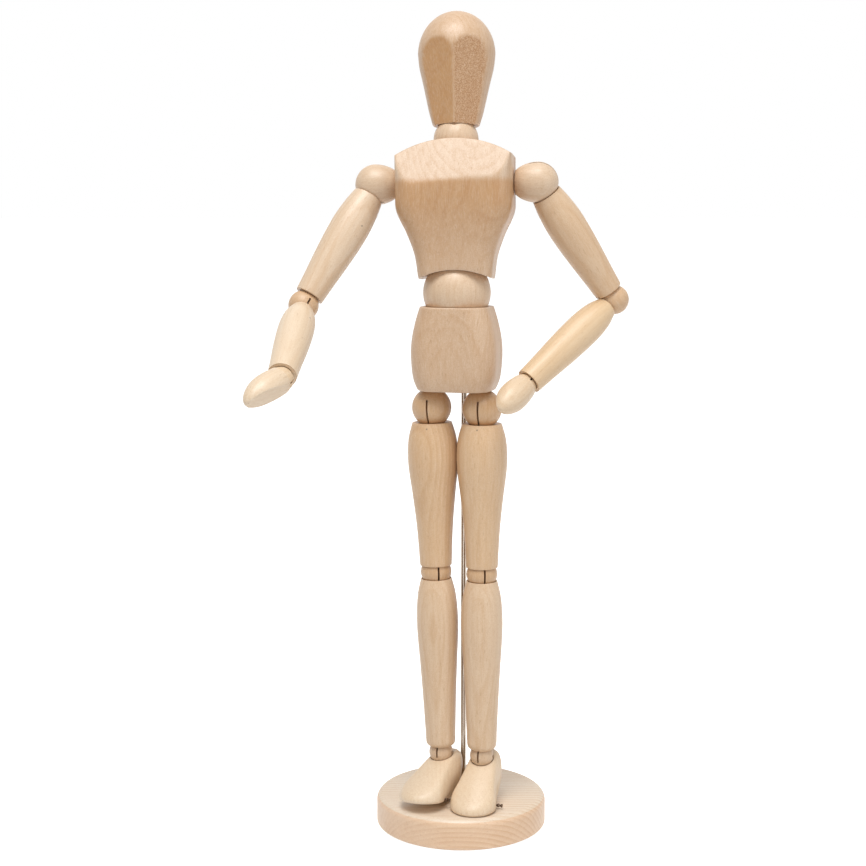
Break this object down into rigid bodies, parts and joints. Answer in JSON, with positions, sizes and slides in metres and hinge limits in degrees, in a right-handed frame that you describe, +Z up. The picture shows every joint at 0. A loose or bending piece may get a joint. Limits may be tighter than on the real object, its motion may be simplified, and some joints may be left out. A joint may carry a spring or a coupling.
{
  "type": "artist mannequin",
  "caption": "Jointed wooden artist mannequin on a round base, with turned limbs, ball joints and faceted head, chest, hands and feet.",
  "frame": {"origin": "middle of the round base's underside, on the table", "axes": "+Z up through the figure; the figure looks along -Y, turned 15 degrees towards -X; its own left side is at +X"},
  "size_m": [0.1462, 0.1169, 0.3296],
  "materials": {
    "base_wood": "smooth unvarnished",
    "body_wood": "smooth satin",
    "limb_wood": "smooth satin",
    "hand_wood": "smooth unvarnished",
    "ball_wood": "smooth satin",
    "rod_steel": "bright drawn",
    "wire_steel": "drawn wire",
    "spring_steel": "drawn wire"
  },
  "bodies": {
    "stand": {"base": "base_wood", "support_rod": "rod_steel"},
    "pelvis": {"pelvis": "body_wood"},
    "waist_ball": {"waist_ball": "ball_wood", "waist_hook": "wire_steel"},
    "waist_link": {"waist_link": "spring_steel"},
    "chest": {"chest": "body_wood", "shoulder_spring": "spring_steel"},
    "neck_ball": {"neck_ball": "ball_wood", "neck_hook": "wire_steel"},
    "neck_link": {"neck_link": "spring_steel"},
    "head": {"head": "body_wood"},
    "hip_ball_left": {"hip_left_ball": "ball_wood", "hip_left_hook": "wire_steel"},
    "thigh_left": {"thigh_left": "limb_wood", "thigh_spring_left": "spring_steel"},
    "knee_ball_left": {"knee_left_ball": "ball_wood", "knee_left_hook": "wire_steel"},
    "shin_left": {"shin_left": "limb_wood", "shin_spring_left": "spring_steel"},
    "ankle_ball_left": {"ankle_left_ball": "ball_wood", "ankle_left_hook": "wire_steel"},
    "foot_left": {"foot_left": "hand_wood", "sole_pin_left": "wire_steel"},
    "shoulder_ball_left": {"shoulder_left_ball": "ball_wood", "shoulder_left_hook": "wire_steel"},
    "upper_arm_left": {"upper_arm_left": "limb_wood", "upper_arm_spring_left": "spring_steel"},
    "elbow_ball_left": {"elbow_left_ball": "ball_wood", "elbow_left_hook": "wire_steel"},
    "forearm_left": {"forearm_left": "hand_wood", "forearm_spring_left": "spring_steel"},
    "wrist_ball_left": {"wrist_left_ball": "hand_wood", "wrist_left_hook": "wire_steel"},
    "hand_left": {"hand_left": "hand_wood"},
    "hip_ball_right": {"hip_right_ball": "ball_wood", "hip_right_hook": "wire_steel"},
    "thigh_right": {"thigh_right": "limb_wood", "thigh_spring_right": "spring_steel"},
    "knee_ball_right": {"knee_right_ball": "ball_wood", "knee_right_hook": "wire_steel"},
    "shin_right": {"shin_right": "limb_wood", "shin_spring_right": "spring_steel"},
    "ankle_ball_right": {"ankle_right_ball": "ball_wood", "ankle_right_hook": "wire_steel"},
    "foot_right": {"foot_right": "hand_wood", "sole_pin_right": "wire_steel"},
    "shoulder_ball_right": {"shoulder_right_ball": "ball_wood", "shoulder_right_hook": "wire_steel"},
    "upper_arm_right": {"upper_arm_right": "limb_wood", "upper_arm_spring_right": "spring_steel"},
    "elbow_ball_right": {"elbow_right_ball": "ball_wood", "elbow_right_hook": "wire_steel"},
    "forearm_right": {"forearm_right": "hand_wood", "forearm_spring_right": "spring_steel"},
    "wrist_ball_right": {"wrist_right_ball": "hand_wood", "wrist_right_hook": "wire_steel"},
    "hand_right": {"hand_right": "hand_wood"}
  },
  "joints": [
    {"name": "figure_turn", "type": "hinge", "parent": "stand", "child": "pelvis", "pos_m": [0.0009, 0, 0.0125], "axis": [0, 0, 1], "continuous": true},
    {"name": "waist_turn", "type": "hinge", "parent": "pelvis", "child": "waist_ball", "pos_m": [-0.0022, -0.00849, 0.2203], "axis": [-0.0202, 0.0054, 0.9998], "range_deg": [-40, 40]},
    {"name": "waist_bend", "type": "hinge", "parent": "waist_ball", "child": "waist_link", "pos_m": [-0.0022, -0.00849, 0.2203], "axis": [0.9657, -0.2588, 0.0209], "range_deg": [-18, 24]},
    {"name": "chest_turn", "type": "hinge", "parent": "waist_link", "child": "chest", "pos_m": [-0.0022, -0.00849, 0.2203], "axis": [-0.0067, 0.056, 0.9984], "range_deg": [-40, 40]},
    {"name": "neck_turn", "type": "hinge", "parent": "chest", "child": "neck_ball", "pos_m": [-0.0026, -0.00515, 0.27981], "axis": [-0.0015, 0.0553, 0.9985], "range_deg": [-60, 60]},
    {"name": "head_nod", "type": "hinge", "parent": "neck_ball", "child": "neck_link", "pos_m": [-0.0026, -0.00515, 0.27981], "axis": [0.9925, -0.1223, 0.0082], "range_deg": [-18, 24]},
    {"name": "head_turn", "type": "hinge", "parent": "neck_link", "child": "head", "pos_m": [-0.0026, -0.00515, 0.27981], "axis": [0.0071, 0.1243, 0.9922], "range_deg": [-60, 60]},
    {"name": "hip_turn_left", "type": "hinge", "parent": "pelvis", "child": "hip_ball_left", "pos_m": [0.00779, -0.01116, 0.1743], "axis": [-0.0034, 0.0009, 1], "range_deg": [-3, 40]},
    {"name": "hip_swing_left", "type": "hinge", "parent": "hip_ball_left", "child": "thigh_left", "pos_m": [0.00779, -0.01116, 0.1743], "axis": [-0.9659, 0.2588, -0.0035], "range_deg": [0, 75]},
    {"name": "knee_turn_left", "type": "hinge", "parent": "thigh_left", "child": "knee_ball_left", "pos_m": [0.00802, -0.01123, 0.1073], "axis": [0.0034, -0.0009, -1], "range_deg": [-30, 3]},
    {"name": "knee_bend_left", "type": "hinge", "parent": "knee_ball_left", "child": "shin_left", "pos_m": [0.00802, -0.01123, 0.1073], "axis": [-0.9848, -0.1737, -0.0032], "range_deg": [0, 45]},
    {"name": "ankle_bend_left", "type": "hinge", "parent": "shin_left", "child": "ankle_ball_left", "pos_m": [0.00828, -0.01129, 0.0317], "axis": [-0.9272, 0.3746, -0.0035], "range_deg": [0, 25]},
    {"name": "foot_turn_left", "type": "hinge", "parent": "ankle_ball_left", "child": "foot_left", "pos_m": [0.00828, -0.01129, 0.0317], "axis": [-0.0034, 0.0009, 1], "range_deg": [-3, 35]},
    {"name": "shoulder_swing_left", "type": "hinge", "parent": "chest", "child": "shoulder_ball_left", "pos_m": [0.02947, -0.01003, 0.26337], "axis": [-0.9924, 0.122, -0.0135], "range_deg": [-6, 120]},
    {"name": "shoulder_raise_left", "type": "hinge", "parent": "shoulder_ball_left", "child": "upper_arm_left", "pos_m": [0.02947, -0.01003, 0.26337], "axis": [-0.1129, -0.9503, -0.29], "range_deg": [-4, 120]},
    {"name": "elbow_turn_left", "type": "hinge", "parent": "upper_arm_left", "child": "elbow_ball_left", "pos_m": [0.06096, 0.00038, 0.21701], "axis": [-0.5524, -0.1826, 0.8133], "range_deg": [-4, 90]},
    {"name": "elbow_bend_left", "type": "hinge", "parent": "elbow_ball_left", "child": "forearm_left", "pos_m": [0.06096, 0.00038, 0.21701], "axis": [0.4444, -0.89, 0.102], "range_deg": [0, 130]},
    {"name": "wrist_bend_left", "type": "hinge", "parent": "forearm_left", "child": "wrist_ball_left", "pos_m": [0.02394, -0.02182, 0.18456], "axis": [-0.69, 0.1034, 0.7164], "range_deg": [-40, 15]},
    {"name": "hand_turn_left", "type": "hinge", "parent": "wrist_ball_left", "child": "hand_left", "pos_m": [0.02394, -0.02182, 0.18456], "axis": [0.5402, 0.7323, 0.4145], "range_deg": [-90, 90]},
    {"name": "hip_turn_right", "type": "hinge", "parent": "pelvis", "child": "hip_ball_right", "pos_m": [-0.0122, -0.00581, 0.1743], "axis": [0.027, -0.0072, -0.9996], "range_deg": [-3, 40]},
    {"name": "hip_swing_right", "type": "hinge", "parent": "hip_ball_right", "child": "thigh_right", "pos_m": [-0.0122, -0.00581, 0.1743], "axis": [-0.9655, 0.2587, -0.0279], "range_deg": [0, 75]},
    {"name": "knee_turn_right", "type": "hinge", "parent": "thigh_right", "child": "knee_ball_right", "pos_m": [-0.01039, -0.00629, 0.10733], "axis": [-0.027, 0.0072, 0.9996], "range_deg": [-30, 3]},
    {"name": "knee_bend_right", "type": "hinge", "parent": "knee_ball_right", "child": "shin_right", "pos_m": [-0.01039, -0.00629, 0.10733], "axis": [0.9845, 0.1737, 0.0253], "range_deg": [0, 45]},
    {"name": "ankle_bend_right", "type": "hinge", "parent": "shin_right", "child": "ankle_ball_right", "pos_m": [-0.00835, -0.00684, 0.03176], "axis": [-0.9268, 0.3745, -0.0277], "range_deg": [-3, 20]},
    {"name": "foot_turn_right", "type": "hinge", "parent": "ankle_ball_right", "child": "foot_right", "pos_m": [-0.00835, -0.00684, 0.03176], "axis": [-0.045, -0.184, -0.9819], "range_deg": [-3, 35]},
    {"name": "shoulder_swing_right", "type": "hinge", "parent": "chest", "child": "shoulder_ball_right", "pos_m": [-0.03444, -0.00217, 0.2625], "axis": [-0.9924, 0.122, -0.0135], "range_deg": [-60, 120]},
    {"name": "shoulder_raise_right", "type": "hinge", "parent": "shoulder_ball_right", "child": "upper_arm_right", "pos_m": [-0.03444, -0.00217, 0.2625], "axis": [-0.1168, -0.9051, 0.4089], "range_deg": [-120, 6]},
    {"name": "elbow_turn_right", "type": "hinge", "parent": "upper_arm_right", "child": "elbow_ball_right", "pos_m": [-0.06204, -0.0197, 0.21581], "axis": [-0.4842, -0.3076, -0.8191], "range_deg": [-90, 90]},
    {"name": "elbow_bend_right", "type": "hinge", "parent": "elbow_ball_right", "child": "forearm_right", "pos_m": [-0.06204, -0.0197, 0.21581], "axis": [0.8094, 0.1982, -0.5528], "range_deg": [-39, 90]},
    {"name": "wrist_bend_right", "type": "hinge", "parent": "forearm_right", "child": "wrist_ball_right", "pos_m": [-0.06674, -0.06778, 0.19168], "axis": [0.058, 0.4432, -0.8946], "range_deg": [-60, 8]},
    {"name": "hand_turn_right", "type": "hinge", "parent": "wrist_ball_right", "child": "hand_right", "pos_m": [-0.06674, -0.06778, 0.19168], "axis": [0.6009, 0.7001, 0.3858], "range_deg": [-90, 90]}
  ]
}
